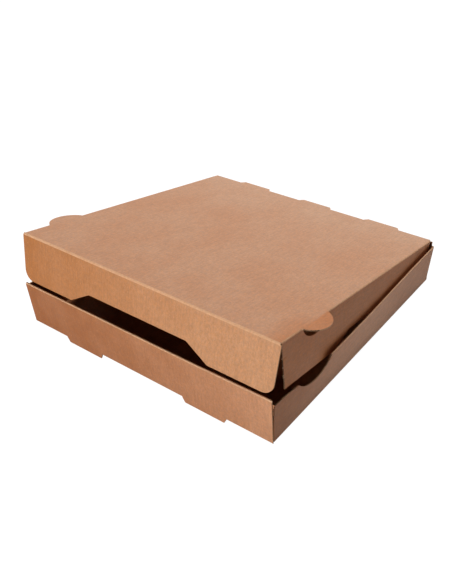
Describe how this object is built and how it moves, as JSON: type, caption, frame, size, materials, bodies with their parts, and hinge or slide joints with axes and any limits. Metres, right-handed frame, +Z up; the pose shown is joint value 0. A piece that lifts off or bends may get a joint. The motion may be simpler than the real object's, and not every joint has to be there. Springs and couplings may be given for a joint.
{
  "type": "pizza box",
  "caption": "Flat square kraft board take-away box folded from one sheet, with a hinged tuck lid, a front flap, finger ears and rolled front wall feet.",
  "frame": {"origin": "on the surface that the box stands on, under the middle of its bounding box as it rests with its lid a little open", "axes": "+Z up, +X to the right seen from the front, +Y from the front wall to the hinge at the back"},
  "size_m": [0.2754, 0.2656, 0.0853],
  "materials": {
    "kraft_tray": "matt uncoated kraft board",
    "kraft_lid": "matt uncoated kraft board",
    "kraft_front_flap": "matt uncoated kraft board"
  },
  "bodies": {
    "tray": {"tray": "kraft_tray"},
    "lid": {"lid": "kraft_lid"},
    "front_flap": {"front_flap": "kraft_front_flap"}
  },
  "joints": [
    {"name": "lid_hinge", "type": "hinge", "parent": "tray", "child": "lid", "pos_m": [0, 0.12747, 0.04048], "axis": [-1, 0, 0], "range_deg": [-9.25, 170.75]},
    {"name": "front_flap_fold", "type": "hinge", "parent": "lid", "child": "front_flap", "pos_m": [0, -0.11744, 0.08477], "axis": [-1, 0, 0], "range_deg": [-14.5, 83.5]}
  ]
}
